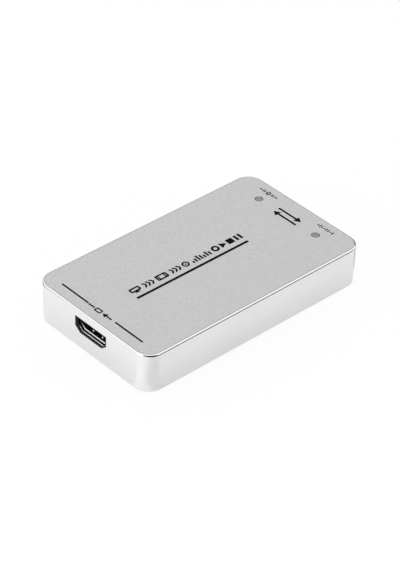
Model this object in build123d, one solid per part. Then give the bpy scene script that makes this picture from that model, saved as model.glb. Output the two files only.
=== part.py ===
from build123d import *
import os

# Video capture box: a shallow aluminium shell, closed below by a screwed plate, over one circuit board.
# The board carries a video input socket at the -X end and a data output socket at the +X end.
# Millimetres, +Z up. The origin is on the surface that the feet stand on, under the middle of the box.

# Casing shell, in one piece: four walls and the roof
case_length = 100.0
case_width = 58.0
case_height = 15.5
corner_radius = 6.2
edge_radius = 0.8
rim_break = 0.25
wall = 1.2
roof = 1.2
roof_bevel = 0.6

# Pillars in the corners of the shell, which the base plate is screwed to
pillar_radius = 2.6
pillar_inset = 5.4
pillar_tap_depth = 7.0

# Posts under the roof, which the board is screwed to
post_radius = 2.5
post_inset_x = 15.0
post_inset_y = 7.0
post_tap_depth = 4.2

# Base plate and the feet stuck on it
plate_thickness = 1.2
plate_gap = 0.15
foot_height = 0.8
foot_radius = 4.0
foot_inset_x = 14.0
foot_inset_y = 10.5

# Screws, all with the same thread
thread_radius = 0.95
tap_gap = 0.05
shank_gap = 0.15
sunk_head_radius = 1.9
sunk_head_height = 0.95
sunk_head_sink = 0.04
sunk_screw_length = 6.5
pan_head_radius = 1.75
pan_head_height = 1.2
pan_screw_length = 5.0

# Sides of the many small hidden rounds, such as posts, screw shanks and their holes, and of the wider ones
small_round_sides = 12
wide_round_sides = 24

# Circuit board
under_board_space = 4.0
board_thickness = 1.6
board_gap = 0.6
film_thickness = 0.25
film_margin = 1.5

# Sheet metal of both sockets, and their solder legs
sheet = 0.3
leg_width = 1.4
leg_reach = 1.0
leg_fit = 0.15
block_gap = 0.03

# Port cut-outs: a counterbore for a black liner, and a thin lip of the wall behind it.
# The video lip hides the edge of the socket. The data lip leaves the socket room to pass through.
liner_lead = 0.6
liner_wall = 0.2
liner_fit = 0.03
liner_sink = 0.05
lip_thickness = 0.35
video_lip_rise = 0.55
data_lip_rise = 0.2

# Video input socket: a wide mouth over a narrower floor
video_width = 14.0
video_height = 4.55
video_side_height = 3.0
video_taper = 2.0
video_corner_radius = 0.35
video_recess = 2.0
video_depth = 12.0
video_block_length = 3.4
video_tongue_gap = 1.4
video_tongue_thickness = 1.05
video_tongue_recess = 0.95
video_tongue_lift = 0.25
video_tongue_bevel = 0.2
video_leg_front = 3.0
video_leg_rear = 10.2
video_contact_count = 10
video_contact_margin_share = 0.1
video_contact_width = 0.3
video_contact_thickness = 0.15
video_contact_start = 0.6
video_contact_gap = 0.3
video_contact_foot = 0.8

# Spring fingers in the floor and ceiling of both sockets
finger_slit = 0.35
video_finger_offset = 2.4
video_finger_start = 0.7
video_finger_end = 5.6
video_finger_width = 1.3
video_dimple_radius = 0.5
video_dimple_height = 0.22
data_finger_offset = 3.1
data_finger_start = 2.0
data_finger_end = 9.0
data_finger_width = 2.0
data_dimple_radius = 0.8
data_dimple_height = 0.35
dimple_top_share = 0.5

# Data output socket: a rectangular mouth with the tongue near its ceiling
data_width = 12.5
data_height = 5.12
data_corner_radius = 0.5
data_recess = 0.7
data_depth = 17.0
data_block_length = 5.0
data_tongue_gap = 0.7
data_tongue_thickness = 1.84
data_tongue_recess = 1.0
data_tongue_drop = 0.38
data_tongue_bevel = 0.35
data_leg_front = 5.0
data_leg_rear = 13.5
data_contact_thickness = 0.25
data_contact_start = 1.2
data_slow_width = 1.0
data_fast_width = 0.5
data_contact_gap = 0.4
data_contact_foot = 1.0
data_slow_shares = (-0.315, -0.09, 0.09, 0.315)
data_fast_shares = (-0.44, -0.2025, 0.0, 0.2025, 0.44)

# Conductive foam between the sockets and the roof
foam_length = 5.0
foam_width_share = 0.7

# Indicator lights: a light pipe through the roof over a lamp on the board
light_inset_x = 9.2
light_inset_y = 14.6
pipe_radius = 1.55
pipe_fit = 0.05
pipe_sink = 0.1
pipe_stem_radius = 2.1
pipe_lamp_gap = 0.4
lamp_length = 3.5
lamp_width = 2.8
lamp_height = 1.9
lamp_cup_radius = 1.2
lamp_cup_floor_radius = 0.8
lamp_cup_depth = 0.7

# Clearance between neighbours on the board
part_gap = 0.5

# Chips with bent leads: body, lead row and lead section
lead_thickness = 0.15
lead_foot = 0.6
lead_reach = 1.1
chip_edge = 0.15
receiver_side = 14.0
receiver_height = 1.4
receiver_lead_count = 10
receiver_lead_pitch = 1.27
receiver_lead_width = 0.4
small_chip_length = 5.0
small_chip_width = 4.0
small_chip_height = 1.5
small_lead_count = 4
small_lead_pitch = 1.27
small_lead_width = 0.42

# Chips that are soldered underneath: a carrier and the moulding on it
carrier_thickness = 0.5
processor_side = 17.0
processor_moulding_side = 15.0
processor_height = 1.6
controller_side = 10.0
controller_moulding_side = 9.0
controller_height = 1.2
memory_length = 13.0
memory_width = 9.0
memory_moulding_margin = 0.5
memory_height = 1.1

# Finned cooler on the processor, with its soft pad
pad_thickness = 0.5
cooler_side = 16.0
cooler_base = 1.2
cooler_height = 4.4
fin_count = 6
fin_thickness = 0.9

# Crystals in metal cans
crystal_length = 5.0
crystal_width = 3.2
crystal_height = 1.1
crystal_corner = 0.5

# Power supply parts
coil_side = 4.0
coil_height = 2.0
coil_corner = 0.7
coil_edge = 0.25
coil_count = 3
can_radius = 2.5
can_height = 5.2
can_foot_side = 5.3
can_foot_height = 0.9
can_count = 2
regulator_length = 2.9
regulator_width = 1.6
regulator_height = 1.1
regulator_lead_count = 3
regulator_lead_pitch = 0.95
regulator_lead_width = 0.4
regulator_lead_reach = 0.6
regulator_count = 3
fuse_length = 4.5
fuse_width = 3.2
fuse_height = 0.9

# Line filters of the three data pairs
filter_length = 2.0
filter_width = 1.25
filter_height = 0.9
filter_pitch = 2.6
filter_count = 3

# Surge protection beside the video socket
guard_length = 2.5
guard_width = 1.0
guard_height = 0.6
guard_pitch = 6.6

# Small capacitors and resistors, in rows
capacitor_length = 1.6
capacitor_width = 0.8
capacitor_height = 0.8
resistor_length = 1.6
resistor_width = 0.8
resistor_height = 0.45
end_cap_share = 0.2
capacitor_pitch = 2.0
resistor_pitch = 1.9
processor_capacitor_count = 6
controller_capacitor_count = 3
signal_resistor_count = 4
supply_resistor_count = 3

# Heights, from the feet up
cut_overrun = 1.0
case_bottom = foot_height
case_top = case_bottom + case_height
roof_under = case_top - roof
plate_top = case_bottom + plate_thickness
board_bottom = plate_top + under_board_space
board_top = board_bottom + board_thickness
video_axis = board_top + sheet + video_height / 2
data_axis = board_top + sheet + data_height / 2
video_shell_top = video_axis + video_height / 2 + sheet
data_shell_top = data_axis + data_height / 2 + sheet
tap_radius = thread_radius + tap_gap
shank_hole_radius = thread_radius + shank_gap

# Plan sizes
post_x = case_length / 2 - post_inset_x
post_y = case_width / 2 - post_inset_y
foot_x = case_length / 2 - foot_inset_x
foot_y = case_width / 2 - foot_inset_y
light_x = case_length / 2 - light_inset_x
light_y = case_width / 2 - light_inset_y
inner_length = case_length - 2 * wall
inner_width = case_width - 2 * wall
inner_radius = corner_radius - wall
board_length = inner_length - 2 * board_gap
board_width = inner_width - 2 * board_gap
video_face = -case_length / 2 + video_recess
data_face = case_length / 2 - data_recess
video_rear = video_face + video_depth
data_rear = data_face - data_depth
video_floor_width = video_width - 2 * video_taper
video_tongue_width = video_width - 2 * video_tongue_gap
data_tongue_width = data_width - 2 * data_tongue_gap
video_contact_pitch = video_tongue_width * (1 - video_contact_margin_share) / video_contact_count
video_toe = video_rear + video_contact_gap + video_contact_foot
data_toe = data_rear - data_contact_gap - data_contact_foot

# Places on the board: a middle line between the sockets, and the lines beside it
receiver_span = receiver_side + 2 * lead_reach
small_chip_span = small_chip_width + 2 * lead_reach
capacitor_y = processor_side / 2 + part_gap + capacitor_length / 2
memory_y = capacitor_y + capacitor_length / 2 + part_gap + memory_width / 2
receiver_edge_y = receiver_span / 2 + part_gap + crystal_width / 2
controller_edge_y = controller_side / 2 + part_gap + crystal_width / 2


# Helpers: solids from a plan, from a section across X, and from a profile in the XZ plane
def slab(plan, low, high):
    return extrude(Pos(0, 0, low) * plan, amount=high - low)


def across(section, x_low, x_high, z):
    plane = Plane(origin=(x_low, 0, z), x_dir=(0, 1, 0), z_dir=(1, 0, 0))
    return extrude(plane * section, amount=x_high - x_low)


def side_profile(points, y, width):
    plane = Plane(origin=(0, y, 0), x_dir=(1, 0, 0), z_dir=(0, -1, 0))
    face = make_face(Polyline(*points, close=True))
    return extrude(plane * face, amount=width / 2, both=True)


def block(length, width, low, high):
    return slab(Rectangle(length, width), low, high)


def group(solids):
    return Compound(children=list(solids))


def four(x, y):
    return [(sx * x, sy * y) for sx in (-1, 1) for sy in (-1, 1)]


def pillar_places():
    return four(case_length / 2 - pillar_inset, case_width / 2 - pillar_inset)


def small_round(radius):
    return RegularPolygon(radius, small_round_sides)


def wide_round(radius):
    return RegularPolygon(radius, wide_round_sides)


def tapered(low_plan, high_plan, low, high):
    return loft([Pos(0, 0, low) * low_plan, Pos(0, 0, high) * high_plan], ruled=True)


def row(count, pitch):
    return [(i - (count - 1) / 2) * pitch for i in range(count)]


# Middles of pieces that stand in a line from start to end with equal gaps
def lined_up(start, end, lengths):
    gap = (end - start - sum(lengths)) / (len(lengths) + 1)
    middles = []
    edge = start
    for length in lengths:
        middles.append(edge + gap + length / 2)
        edge += gap + length
    return middles


def row_length(count, pitch, width):
    return (count - 1) * pitch + width


# Middle line: surge guards, receiver, processor, controller and line filters between the contact toes
middle_lengths = (guard_width, receiver_span, processor_side, controller_side, filter_length)
guard_x, receiver_x, processor_x, controller_x, filter_x = lined_up(video_toe, data_toe, middle_lengths)

# Line of crystals and resistors beside the receiver, and the one beside the controller
signal_row_length = row_length(signal_resistor_count, resistor_pitch, resistor_width)
video_resistor_x, video_crystal_x = lined_up(
    receiver_x - receiver_span / 2,
    receiver_x + receiver_span / 2,
    (signal_row_length, crystal_length),
)
data_crystal_x, data_resistor_x = lined_up(
    controller_x - controller_side / 2,
    filter_x + filter_length / 2,
    (crystal_length, signal_row_length),
)

# Lines of supply parts between the board posts and the memory chips
line_start = -post_x + post_radius
line_end = post_x - post_radius
memory_start = processor_x - memory_length / 2
memory_end = processor_x + memory_length / 2
supply_row_length = row_length(supply_resistor_count, resistor_pitch, resistor_width)
coil_places = lined_up(line_start, memory_start, [coil_side] * coil_count)
can_places = lined_up(memory_end, line_end, [can_foot_side] * can_count)
setup_memory_x, *regulator_places = lined_up(
    line_start,
    memory_start,
    [small_chip_span] + [regulator_length] * regulator_count,
)
supply_resistor_x, flash_x, fuse_x = lined_up(
    memory_end,
    line_end,
    (supply_row_length, small_chip_span, fuse_length),
)


# Sections of the two sockets, grown outwards on every side, and cut smaller for the blocks inside them
def video_outline(grow):
    half = video_width / 2 + grow
    top = video_height / 2 + grow
    run = (video_width - video_floor_width) / 2
    rise = video_height - video_side_height
    slant = (run**2 + rise**2) ** 0.5
    side_end = video_height / 2 - video_side_height - grow * (slant - run) / rise
    floor_half = video_floor_width / 2 + grow * (slant - rise) / run
    points = [
        (-half, top),
        (half, top),
        (half, side_end),
        (floor_half, -top),
        (-floor_half, -top),
        (-half, side_end),
    ]
    return make_face(Polyline(*points, close=True))


def video_section(grow=0.0):
    face = video_outline(grow)
    return fillet(face.vertices(), radius=video_corner_radius + grow)


def data_outline(grow):
    return Rectangle(data_width + 2 * grow, data_height + 2 * grow)


def data_section(grow=0.0):
    face = data_outline(grow)
    return fillet(face.vertices(), radius=data_corner_radius + grow)


def video_block_section():
    face = video_outline(-block_gap)
    return chamfer(face.vertices(), length=video_corner_radius)


def data_block_section():
    face = data_outline(-block_gap)
    return chamfer(face.vertices(), length=data_corner_radius)


# Casing
def pillar_plan(x, y):
    toward_x = 1 if x > 0 else -1
    toward_y = 1 if y > 0 else -1
    arm = pillar_inset / 2
    plan = Pos(x, y) * small_round(pillar_radius)
    plan += Pos(x + toward_x * arm, y) * Rectangle(pillar_inset, 2 * pillar_radius)
    plan += Pos(x, y + toward_y * arm) * Rectangle(2 * pillar_radius, pillar_inset)
    inside = RectangleRounded(case_length - wall, case_width - wall, corner_radius - wall / 2)
    return plan & inside


def end_slab(section, depth_from, depth_to, z, end):
    face = case_length / 2
    near = end * (face - depth_from)
    far = end * (face - depth_to)
    return across(section, min(near, far), max(near, far), z)


def port_cut(outline, lip_rise, z, end):
    counterbore = outline(liner_lead + liner_wall + liner_fit)
    mouth = outline(liner_lead - lip_rise)
    cut = end_slab(counterbore, -cut_overrun, wall - lip_thickness, z, end)
    return cut + end_slab(mouth, -cut_overrun, wall + cut_overrun, z, end)


def top_shell():
    outside = slab(RectangleRounded(case_length, case_width, corner_radius), case_bottom, case_top)
    outside = fillet(outside.edges().group_by(Axis.Z)[-1], radius=edge_radius)
    outside = chamfer(outside.edges().group_by(Axis.Z)[0], length=rim_break)
    hollow = slab(RectangleRounded(inner_length, inner_width, inner_radius), case_bottom, roof_under)
    hollow = chamfer(hollow.edges().group_by(Axis.Z)[-1], length=roof_bevel)
    shell = outside - hollow
    for x, y in pillar_places():
        shell += slab(pillar_plan(x, y), plate_top, roof_under)
        shell -= slab(Pos(x, y) * small_round(tap_radius), plate_top, plate_top + pillar_tap_depth)
    for x, y in four(post_x, post_y):
        shell += slab(Pos(x, y) * small_round(post_radius), board_top, roof_under)
        shell -= slab(Pos(x, y) * small_round(tap_radius), board_top, board_top + post_tap_depth)
    for y in (-light_y, light_y):
        hole = Circle(pipe_radius + pipe_fit)
        shell -= slab(Pos(light_x, y) * hole, roof_under - cut_overrun, case_top + cut_overrun)
    shell -= port_cut(video_outline, video_lip_rise, video_axis, -1)
    shell -= port_cut(data_outline, data_lip_rise, data_axis, 1)
    return shell


def base_plate():
    plan = RectangleRounded(
        inner_length - 2 * plate_gap,
        inner_width - 2 * plate_gap,
        inner_radius - plate_gap,
    )
    plate = slab(plan, case_bottom, plate_top)
    sink = tapered(
        wide_round(sunk_head_radius + tap_gap),
        wide_round(tap_radius),
        case_bottom,
        case_bottom + sunk_head_height,
    )
    for x, y in pillar_places():
        plate -= slab(Pos(x, y) * small_round(shank_hole_radius), case_bottom, plate_top)
        plate -= Pos(x, y, 0) * sink
    return plate


def base_screws():
    head = tapered(wide_round(sunk_head_radius), wide_round(thread_radius), 0, sunk_head_height)
    screw = head + slab(small_round(thread_radius), 0, sunk_screw_length)
    return group(Pos(x, y, case_bottom + sunk_head_sink) * screw for x, y in pillar_places())


def rubber_feet():
    foot = slab(Circle(foot_radius), 0, foot_height)
    return group(Pos(x, y, 0) * foot for x, y in four(foot_x, foot_y))


def port_liner(outline, z, end):
    ring = outline(liner_lead + liner_wall) - outline(liner_lead)
    return end_slab(ring, liner_sink, wall - lip_thickness, z, end)


def light_pipe(y):
    pipe = slab(small_round(pipe_stem_radius), board_top + lamp_height + pipe_lamp_gap, roof_under)
    pipe += slab(Circle(pipe_radius), roof_under, case_top - pipe_sink)
    return Pos(light_x, y, 0) * pipe


# Board and what holds it
def leg_spots():
    spots = [(video_face + d, video_width) for d in (video_leg_front, video_leg_rear)]
    return spots + [(data_face - d, data_width) for d in (data_leg_front, data_leg_rear)]


def main_board():
    plan = Rectangle(board_length, board_width)
    side = 2 * (pillar_inset + pillar_radius + board_gap)
    for x, y in four(case_length / 2, case_width / 2):
        plan -= Pos(x, y) * Rectangle(side, side)
    for x, y in four(post_x, post_y):
        plan -= Pos(x, y) * small_round(shank_hole_radius)
    slot = Rectangle(leg_width + 2 * leg_fit, sheet + 2 * leg_fit)
    for x, width in leg_spots():
        for side in (-1, 1):
            plan -= Pos(x, side * (width + sheet) / 2) * slot
    return slab(plan, board_bottom, board_top)


def board_screws():
    screw = slab(small_round(pan_head_radius), board_bottom - pan_head_height, board_bottom)
    screw += slab(small_round(thread_radius), board_bottom, board_bottom + pan_screw_length)
    return group(Pos(x, y, 0) * screw for x, y in four(post_x, post_y))


def insulating_film():
    plan = Rectangle(board_length - 2 * film_margin, board_width - 2 * film_margin)
    side = 2 * (pillar_inset + pillar_radius + board_gap + film_margin)
    for x, y in four(case_length / 2, case_width / 2):
        plan -= Pos(x, y) * Rectangle(side, side)
    return slab(plan, plate_top, plate_top + film_thickness)


# Sheet metal that both sockets share: spring fingers, and legs through the board
def sprung(shell, root, inward, axis, height, offset, length, width, radius, rise):
    dimple = tapered(small_round(radius), small_round(radius * dimple_top_share), 0, rise)
    slot = Box(length, width + 2 * finger_slit, sheet)
    finger = Box(length - finger_slit, width, sheet)
    for side in (-1, 1):
        for level in (-1, 1):
            y = side * offset
            z = axis + level * (height + sheet) / 2
            shell -= Pos(root + inward * length / 2, y, z) * slot
            shell += Pos(root + inward * (length + finger_slit) / 2, y, z) * finger
            turn = Rot(90 + 90 * level, 0, 0)
            dimple_x = root + inward * (finger_slit + radius)
            shell += Pos(dimple_x, y, z - level * sheet / 2) * turn * dimple
    return shell


def solder_legs(face, inward, places, width, top):
    legs = []
    for d in places:
        for side in (-1, 1):
            leg = block(leg_width, sheet, board_bottom - leg_reach, top)
            legs.append(Pos(face + inward * d, side * (width + sheet) / 2, 0) * leg)
    return legs


# Video input socket
def video_shell():
    ring = video_section(sheet) - video_section()
    shell = across(ring, video_face, video_rear, video_axis)
    shell = sprung(
        shell,
        video_face + video_finger_start,
        1,
        video_axis,
        video_height,
        video_finger_offset,
        video_finger_end - video_finger_start,
        video_finger_width,
        video_dimple_radius,
        video_dimple_height,
    )
    for leg in solder_legs(video_face, 1, (video_leg_front, video_leg_rear), video_width, video_axis):
        shell += leg
    return shell


def beveled_tongue(width, thickness, x_low, x_high, axis, front, bevel):
    tongue = across(Rectangle(width, thickness), x_low, x_high, axis)
    tip = tongue.faces().sort_by(Axis.X)[front]
    return chamfer(tip.edges().filter_by(Axis.Y), length=bevel)


def bent_contact(start, riser, toe, upper, thick, y, width):
    back = thick if riser > start else -thick
    points = [
        (start, upper),
        (riser + back, upper),
        (riser + back, board_top + thick),
        (toe, board_top + thick),
        (toe, board_top),
        (riser, board_top),
        (riser, upper - thick),
        (start, upper - thick),
    ]
    return side_profile(points, y, width)


def video_contacts():
    middle = video_axis + video_tongue_lift
    thick = video_contact_thickness
    upper_row = middle + video_tongue_thickness / 2
    lower_row = middle - video_tongue_thickness / 2 + thick
    start = video_face + video_tongue_recess + video_contact_start
    riser = video_rear + video_contact_gap
    toe = riser + video_contact_foot
    contacts = []
    for count, upper in ((video_contact_count, upper_row), (video_contact_count - 1, lower_row)):
        for y in row(count, video_contact_pitch):
            contacts.append(bent_contact(start, riser, toe, upper, thick, y, video_contact_width))
    return contacts


def video_insulator():
    block_start = video_rear - video_block_length
    body = across(video_block_section(), block_start, video_rear, video_axis)
    body += beveled_tongue(
        video_tongue_width,
        video_tongue_thickness,
        video_face + video_tongue_recess,
        block_start,
        video_axis + video_tongue_lift,
        0,
        video_tongue_bevel,
    )
    return body - video_contacts()


# Data output socket
def data_shell():
    ring = data_section(sheet) - data_section()
    shell = across(ring, data_rear, data_face, data_axis)
    shell = sprung(
        shell,
        data_face - data_finger_start,
        -1,
        data_axis,
        data_height,
        data_finger_offset,
        data_finger_end - data_finger_start,
        data_finger_width,
        data_dimple_radius,
        data_dimple_height,
    )
    for leg in solder_legs(data_face, -1, (data_leg_front, data_leg_rear), data_width, data_axis):
        shell += leg
    return shell


def data_tongue_floor():
    return data_axis + data_height / 2 - data_tongue_drop - data_tongue_thickness


def data_contacts():
    thick = data_contact_thickness
    upper = data_tongue_floor() + thick
    start = data_face - data_tongue_recess - data_contact_start
    riser = data_rear - data_contact_gap
    toe = riser - data_contact_foot
    contacts = []
    for shares, width in ((data_slow_shares, data_slow_width), (data_fast_shares, data_fast_width)):
        for share in shares:
            y = share * data_tongue_width
            contacts.append(bent_contact(start, riser, toe, upper, thick, y, width))
    return contacts


def data_insulator():
    block_end = data_rear + data_block_length
    body = across(data_block_section(), data_rear, block_end, data_axis)
    body += beveled_tongue(
        data_tongue_width,
        data_tongue_thickness,
        block_end,
        data_face - data_tongue_recess,
        data_tongue_floor() + data_tongue_thickness / 2,
        -1,
        data_tongue_bevel,
    )
    return body - data_contacts()


def ground_foam(rear, inward, width, low):
    foam = block(foam_length, width * foam_width_share, low, roof_under)
    return Pos(rear - inward * foam_length, 0, 0) * foam


# Indicator lamps
def lamp(y):
    body = block(lamp_length, lamp_width, board_top, board_top + lamp_height)
    top = board_top + lamp_height
    floor_plan = small_round(lamp_cup_floor_radius)
    body -= tapered(floor_plan, small_round(lamp_cup_radius), top - lamp_cup_depth, top)
    return Pos(light_x, y, 0) * body


# Chips
def moulded_body(length, width, low, high):
    body = block(length, width, low, high)
    return chamfer(body.edges().group_by(Axis.Z)[-1], length=chip_edge)


def leads(count, pitch, width, body_half, height):
    shoulder = board_top + height / 2
    outer = body_half + lead_reach
    heel = outer - lead_foot
    points = [
        (body_half, shoulder + lead_thickness),
        (heel + lead_thickness, board_top + lead_thickness),
        (outer, board_top + lead_thickness),
        (outer, board_top),
        (heel, board_top),
        (body_half, shoulder),
    ]
    return [side_profile(points, y, width) for y in row(count, pitch)]


def receiver_chip():
    lift = board_top + lead_thickness
    solids = [moulded_body(receiver_side, receiver_side, lift, board_top + receiver_height)]
    comb = leads(
        receiver_lead_count,
        receiver_lead_pitch,
        receiver_lead_width,
        receiver_side / 2,
        receiver_height,
    )
    for turn in range(4):
        solids += [Rot(0, 0, 90 * turn) * lead for lead in comb]
    return group(Pos(receiver_x, 0, 0) * solid for solid in solids)


def small_chip(x, y):
    lift = board_top + lead_thickness
    solids = [moulded_body(small_chip_width, small_chip_length, lift, board_top + small_chip_height)]
    comb = leads(
        small_lead_count,
        small_lead_pitch,
        small_lead_width,
        small_chip_width / 2,
        small_chip_height,
    )
    for turn in (0, 180):
        solids += [Rot(0, 0, turn) * lead for lead in comb]
    return group(Pos(x, y, 0) * solid for solid in solids)


def carrier_chip(length, width, moulding_length, moulding_width, height, x, y):
    carrier_top = board_top + carrier_thickness
    body = block(length, width, board_top, carrier_top)
    body += moulded_body(moulding_length, moulding_width, carrier_top, board_top + height)
    return Pos(x, y, 0) * body


def processor_chip():
    side = processor_moulding_side
    return carrier_chip(processor_side, processor_side, side, side, processor_height, processor_x, 0)


def controller_chip():
    side = controller_moulding_side
    return carrier_chip(controller_side, controller_side, side, side, controller_height, controller_x, 0)


def memory_chips():
    inner_long = memory_length - 2 * memory_moulding_margin
    inner_wide = memory_width - 2 * memory_moulding_margin
    return group(
        carrier_chip(memory_length, memory_width, inner_long, inner_wide, memory_height, processor_x, y)
        for y in (-memory_y, memory_y)
    )


def cooler_pad():
    side = processor_moulding_side - 2 * chip_edge
    low = board_top + processor_height
    pad = block(side, side, low, low + pad_thickness)
    return Pos(processor_x, 0, 0) * pad


def cooler():
    low = board_top + processor_height + pad_thickness
    body = block(cooler_side, cooler_side, low, low + cooler_base)
    fin_pitch = (cooler_side - fin_thickness) / (fin_count - 1)
    for y in row(fin_count, fin_pitch):
        body += Pos(0, y, 0) * block(cooler_side, fin_thickness, low + cooler_base, low + cooler_height)
    return Pos(processor_x, 0, 0) * body


def crystal(x, y):
    can = block(crystal_length, crystal_width, board_top, board_top + crystal_height)
    can = chamfer(can.edges().filter_by(Axis.Z), length=crystal_corner)
    return Pos(x, y, 0) * can


# Power supply
def coils():
    core = block(coil_side, coil_side, board_top, board_top + coil_height)
    core = chamfer(core.edges().filter_by(Axis.Z), length=coil_corner)
    core = chamfer(core.edges().group_by(Axis.Z)[-1], length=coil_edge)
    return group(Pos(x, post_y, 0) * core for x in coil_places)


def can_capacitors():
    foot = block(can_foot_side, can_foot_side, board_top, board_top + can_foot_height)
    can = foot + slab(wide_round(can_radius), board_top + can_foot_height, board_top + can_height)
    return group(Pos(x, post_y, 0) * can for x in can_places)


def regulators():
    body = block(regulator_length, regulator_width, board_top, board_top + regulator_height)
    lead = block(regulator_lead_width, regulator_lead_reach, board_top, board_top + lead_thickness)
    reach = (regulator_width + regulator_lead_reach) / 2
    for dx in row(regulator_lead_count, regulator_lead_pitch):
        body += Pos(dx, -reach, 0) * lead
    for dx in (-regulator_lead_pitch, regulator_lead_pitch):
        body += Pos(dx, reach, 0) * lead
    return group(Pos(x, -post_y, 0) * body for x in regulator_places)


def end_capped(length, width, height):
    cap = length * end_cap_share
    middle = block(length - 2 * cap, width, board_top, board_top + height)
    end = block(cap, width, board_top, board_top + height)
    return [middle] + [Pos(side * (length - cap) / 2, 0, 0) * end for side in (-1, 1)]


def supply_fuse():
    solids = end_capped(fuse_length, fuse_width, fuse_height)
    return group(Pos(fuse_x, -post_y, 0) * solid for solid in solids)


def line_filters():
    coil = block(filter_length, filter_width, board_top, board_top + filter_height)
    return group(Pos(filter_x, y, 0) * coil for y in row(filter_count, filter_pitch))


def surge_guards():
    guard = block(guard_width, guard_length, board_top, board_top + guard_height)
    return group(Pos(guard_x, y, 0) * guard for y in (-guard_pitch / 2, guard_pitch / 2))


def small_parts(rows, pitch, length, width, height):
    solids = []
    for x, y, count in rows:
        for dx in row(count, pitch):
            spot = Pos(x + dx, y, 0) * Rot(0, 0, 90)
            solids += [spot * solid for solid in end_capped(length, width, height)]
    return group(solids)


def capacitors():
    rows = (
        (processor_x, capacitor_y, processor_capacitor_count),
        (processor_x, -capacitor_y, processor_capacitor_count),
        (controller_x, -controller_edge_y, controller_capacitor_count),
    )
    return small_parts(rows, capacitor_pitch, capacitor_length, capacitor_width, capacitor_height)


def resistors():
    rows = (
        (video_resistor_x, receiver_edge_y, signal_resistor_count),
        (data_resistor_x, controller_edge_y, signal_resistor_count),
        (supply_resistor_x, -post_y, supply_resistor_count),
    )
    return small_parts(rows, resistor_pitch, resistor_length, resistor_width, resistor_height)


parts = {
    "top_shell": top_shell(),
    "base_plate": base_plate(),
    "base_screws": base_screws(),
    "rubber_feet": rubber_feet(),
    "video_port_liner": port_liner(video_outline, video_axis, -1),
    "data_port_liner": port_liner(data_outline, data_axis, 1),
    "power_light_pipe": light_pipe(light_y),
    "activity_light_pipe": light_pipe(-light_y),
    "main_board": main_board(),
    "board_screws": board_screws(),
    "insulating_film": insulating_film(),
    "video_socket_shell": video_shell(),
    "video_socket_insulator": video_insulator(),
    "video_socket_contacts": group(video_contacts()),
    "data_socket_shell": data_shell(),
    "data_socket_insulator": data_insulator(),
    "data_socket_contacts": group(data_contacts()),
    "video_ground_foam": ground_foam(video_rear, 1, video_width, video_shell_top),
    "data_ground_foam": ground_foam(data_rear, -1, data_width, data_shell_top),
    "power_lamp": lamp(light_y),
    "activity_lamp": lamp(-light_y),
    "receiver_chip": receiver_chip(),
    "processor_chip": processor_chip(),
    "controller_chip": controller_chip(),
    "memory_chips": memory_chips(),
    "flash_chip": small_chip(flash_x, -post_y),
    "setup_memory_chip": small_chip(setup_memory_x, -post_y),
    "cooler_pad": cooler_pad(),
    "cooler": cooler(),
    "video_crystal": crystal(video_crystal_x, receiver_edge_y),
    "data_crystal": crystal(data_crystal_x, controller_edge_y),
    "coils": coils(),
    "can_capacitors": can_capacitors(),
    "regulators": regulators(),
    "supply_fuse": supply_fuse(),
    "line_filters": line_filters(),
    "surge_guards": surge_guards(),
    "capacitors": capacitors(),
    "resistors": resistors(),
}

os.makedirs("parts", exist_ok=True)
for name, shape in parts.items():
    export_step(shape, f"parts/{name}.step")
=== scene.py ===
import math

import bpy
from mathutils import Matrix, Vector


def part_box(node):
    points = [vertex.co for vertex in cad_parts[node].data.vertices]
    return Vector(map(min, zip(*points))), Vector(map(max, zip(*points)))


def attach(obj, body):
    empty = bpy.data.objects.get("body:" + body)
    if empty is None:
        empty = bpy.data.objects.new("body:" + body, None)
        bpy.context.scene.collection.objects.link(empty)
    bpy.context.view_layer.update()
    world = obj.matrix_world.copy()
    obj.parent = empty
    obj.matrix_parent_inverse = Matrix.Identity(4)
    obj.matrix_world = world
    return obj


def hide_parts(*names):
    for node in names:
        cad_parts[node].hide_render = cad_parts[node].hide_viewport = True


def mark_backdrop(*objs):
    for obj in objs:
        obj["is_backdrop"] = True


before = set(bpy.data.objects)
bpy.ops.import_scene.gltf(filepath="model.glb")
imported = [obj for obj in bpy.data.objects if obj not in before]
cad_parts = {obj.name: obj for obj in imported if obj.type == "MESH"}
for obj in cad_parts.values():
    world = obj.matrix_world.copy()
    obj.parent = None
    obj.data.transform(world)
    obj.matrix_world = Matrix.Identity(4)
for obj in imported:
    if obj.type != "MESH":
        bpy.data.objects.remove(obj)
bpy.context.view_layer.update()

# Pieces are shaped in millimetres and brought down to metres when they are done.
# Origin: on the surface the feet stand on, under the middle of the box. +Z is up.
MILLIMETRE = 0.001
LOW, HIGH = 0, 1
X, Y, Z = 0, 1, 2


def corners_of(node):
    """The node's lowest and highest corners, in millimetres."""
    return [[round(value / MILLIMETRE, 2) for value in corner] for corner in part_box(node)]


# Sizes that the solids give
CASE, BOARD, PIPE = (corners_of(node) for node in ("top_shell", "main_board", "power_light_pipe"))
VIDEO_SHELL, DATA_SHELL = corners_of("video_socket_shell"), corners_of("data_socket_shell")
VIDEO_LINER, DATA_LINER = corners_of("video_port_liner"), corners_of("data_port_liner")
HALF_LENGTH, HALF_WIDTH, CASE_TOP = CASE[HIGH]
CASE_BOTTOM = CASE[LOW][Z]
PLATE_TOP = corners_of("base_plate")[HIGH][Z]
BOARD_TOP = BOARD[HIGH][Z]
LEG_BOTTOM = VIDEO_SHELL[LOW][Z]
LIGHT_X, LIGHT_Y = (round((PIPE[LOW][i] + PIPE[HIGH][i]) / 2, 2) for i in (X, Y))

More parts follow.
